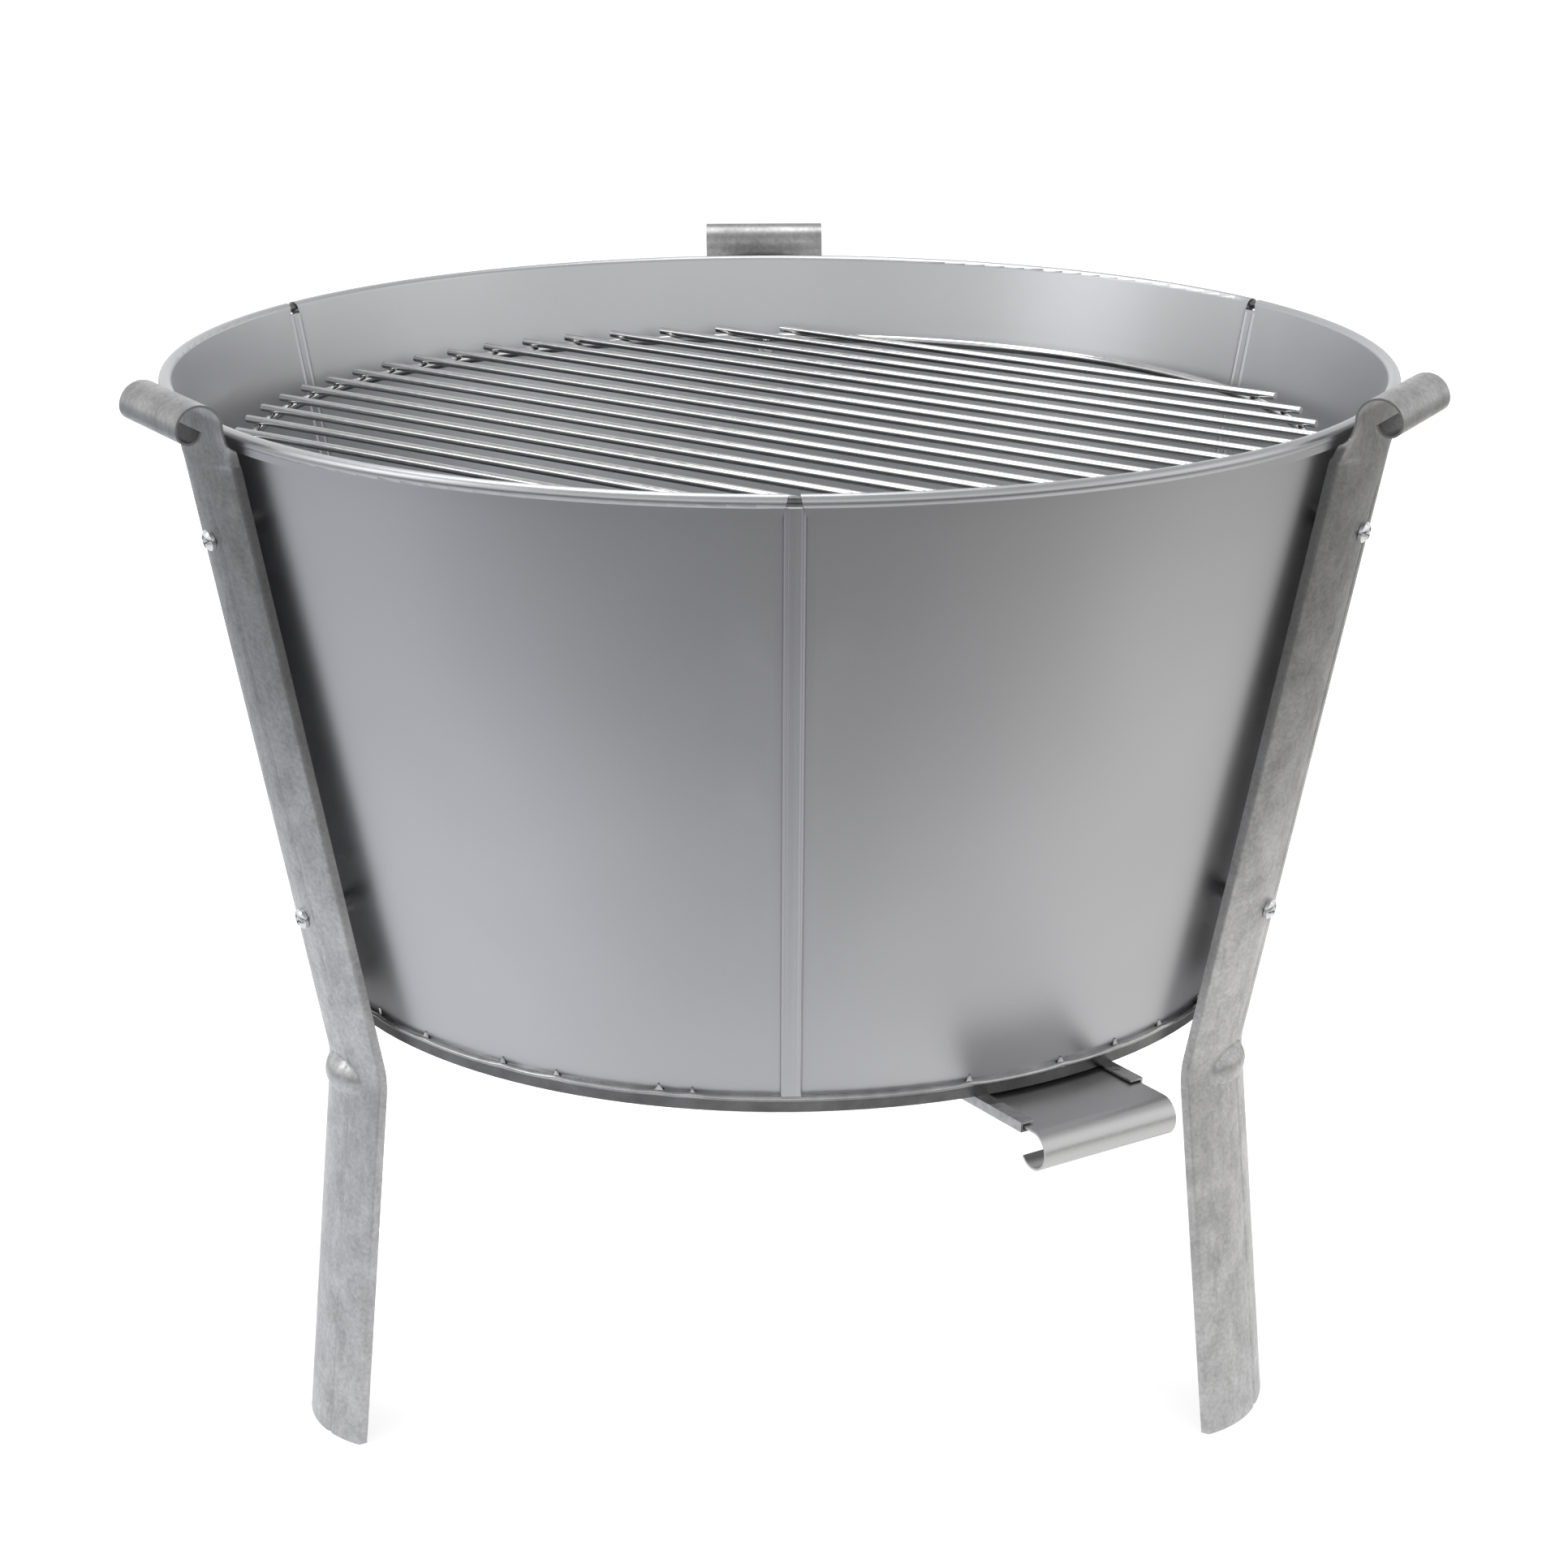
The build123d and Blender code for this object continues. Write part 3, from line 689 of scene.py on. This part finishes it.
def floor():
    """White paper to the camera. What the metal mirrors is darker in front and far to the sides."""
    bpy.ops.mesh.primitive_plane_add(size=FLOOR_SIZE)
    plane = bpy.context.object
    plane.name = "floor"
    plane.location.z = FLOOR_LEVEL
    material, tree = bare_material("floor_paper")
    links = tree.links
    place = tree.nodes.new("ShaderNodeSeparateXYZ")
    links.new(tree.nodes.new("ShaderNodeNewGeometry").outputs["Position"], place.inputs["Vector"])
    aside = tree.nodes.new("ShaderNodeMath")
    aside.operation = "ABSOLUTE"
    links.new(place.outputs["X"], aside.inputs[0])
    depth = ramp(tree, mapped(tree, place.outputs["Y"], *FLOOR_DEPTH), FLOOR_STOPS, FLOOR_GAIN)
    far = mapped(tree, aside.outputs["Value"], *FLOOR_SIDES, 1.0, FLOOR_FAR)
    tint = tree.nodes.new("ShaderNodeMix")
    tint.data_type = "RGBA"
    tint.inputs["A"].default_value, tint.inputs["B"].default_value = FLOOR_TINTS
    links.new(mapped(tree, place.outputs["X"], -0.5, 0.5), tint.inputs["Factor"])
    mirrored = tree.nodes.new("ShaderNodeEmission")
    links.new(times(tree, depth, far), mirrored.inputs["Strength"])
    links.new(tint.outputs["Result"], mirrored.inputs["Color"])
    paper = tree.nodes.new("ShaderNodeBsdfDiffuse")
    paper.inputs["Color"].default_value = PAPER
    glow = tree.nodes.new("ShaderNodeEmission")
    glow.inputs["Strength"].default_value = PAPER_GLOW
    seen = tree.nodes.new("ShaderNodeAddShader")
    links.new(paper.outputs["BSDF"], seen.inputs[0])
    links.new(glow.outputs["Emission"], seen.inputs[1])
    choose = tree.nodes.new("ShaderNodeMixShader")
    links.new(tree.nodes.new("ShaderNodeLightPath").outputs["Is Camera Ray"], choose.inputs["Fac"])
    links.new(mirrored.outputs["Emission"], choose.inputs[1])
    links.new(seen.outputs["Shader"], choose.inputs[2])
    links.new(choose.outputs["Shader"], tree.nodes["Material Output"].inputs["Surface"])
    plane.data.materials.append(material)


def softbox(name, place, aim, width, height, power):
    """A soft lamp that faces a point."""
    light = bpy.data.lights.new(name, "AREA")
    light.shape = "RECTANGLE"
    light.size = width
    light.size_y = height
    light.energy = power
    lamp = bpy.data.objects.new(name, light)
    bpy.context.scene.collection.objects.link(lamp)
    lamp.location = place
    lamp.rotation_euler = (Vector(aim) - Vector(place)).to_track_quat("-Z", "Y").to_euler()


def sky():
    """White to the camera. What the metal mirrors is dimmer overhead."""
    world = bpy.data.worlds.new("studio")
    bpy.context.scene.world = world
    world.use_nodes = True
    tree = world.node_tree
    place = tree.nodes.new("ShaderNodeSeparateXYZ")
    tree.links.new(tree.nodes.new("ShaderNodeTexCoord").outputs["Generated"], place.inputs["Vector"])
    shine = ramp(tree, place.outputs["Z"], SKY_STOPS, SKY_GAIN)
    choose = tree.nodes.new("ShaderNodeMix")
    tree.links.new(tree.nodes.new("ShaderNodeLightPath").outputs["Is Camera Ray"], choose.inputs["Factor"])
    tree.links.new(shine, choose.inputs["A"])
    choose.inputs["B"].default_value = 1.0
    tree.links.new(choose.outputs["Result"], tree.nodes["Background"].inputs["Strength"])
    tree.nodes["Background"].inputs["Color"].default_value = (1, 1, 1, 1)


def camera():
    """The photograph's view."""
    data = bpy.data.cameras.new("camera")
    data.sensor_width = 36
    data.lens = LENS
    data.shift_x = SHIFT
    view = bpy.data.objects.new("camera", data)
    bpy.context.scene.collection.objects.link(view)
    across = Vector((math.cos(CAMERA_TURN), math.sin(CAMERA_TURN), 0))
    view.location = across * CAMERA_DISTANCE + Vector((0, 0, CAMERA_HEIGHT))
    look = -across * math.cos(CAMERA_PITCH) - Vector((0, 0, math.sin(CAMERA_PITCH)))
    view.rotation_euler = look.to_track_quat("-Z", "Y").to_euler()
    bpy.context.scene.camera = view


floor()
sky()
softbox("top_light", (-0.3, 0.3, 1.7), aim=(0, 0, 0.2), width=1.2, height=0.9, power=10)
softbox("left_light", (-1.7, -0.5, 1.3), aim=(0, 0, 0.3), width=0.9, height=1.0, power=5)
softbox("right_light", (1.7, -0.4, 1.3), aim=(0, 0, 0.3), width=0.9, height=1.0, power=1.2)
camera()
bpy.context.scene.view_settings.view_transform = "Standard"
